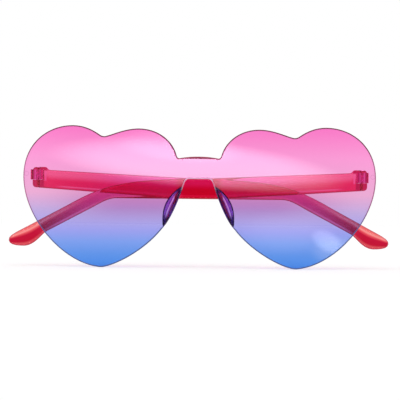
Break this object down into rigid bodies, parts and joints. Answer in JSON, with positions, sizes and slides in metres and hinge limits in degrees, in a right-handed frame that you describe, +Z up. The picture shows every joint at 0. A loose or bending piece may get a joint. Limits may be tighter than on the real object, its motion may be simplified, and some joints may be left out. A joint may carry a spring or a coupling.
{
  "type": "folding sunglasses",
  "caption": "Rimless sunglasses with a clear domed shield lens cut as two joined hearts, bonded nose pads and flat side arms that fold on screw hinges.",
  "frame": {"origin": "on the back of the lens, under the middle of the bridge, where the glasses sit on a nose", "axes": "+X towards the wearer's left, +Y from the lens towards the face, +Z up"},
  "size_m": [0.1574, 0.0213, 0.0581],
  "materials": {
    "lens_tint": "clear, polished, pink to blue tint",
    "lug_tint": "clear, polished",
    "arm_tint": "clear, polished",
    "pad_tint": "clear, polished",
    "screw_steel": "bright"
  },
  "bodies": {
    "front": {"lens_shield": "lens_tint", "hinge_lug_left": "lug_tint", "hinge_lug_right": "lug_tint", "nose_pad_left": "pad_tint", "nose_pad_right": "pad_tint"},
    "arm_left": {"temple_left": "arm_tint", "hinge_screw_left": "screw_steel"},
    "arm_right": {"temple_right": "arm_tint", "hinge_screw_right": "screw_steel"}
  },
  "joints": [
    {"name": "arm_left_fold", "type": "hinge", "parent": "front", "child": "arm_left", "pos_m": [0.067, 0.01398, 0], "axis": [0, 0, -1], "range_deg": [0, 93.5]},
    {"name": "arm_right_fold", "type": "hinge", "parent": "front", "child": "arm_right", "pos_m": [-0.067, 0.01398, 0], "axis": [0, 0, 1], "range_deg": [0, 90.5]}
  ]
}
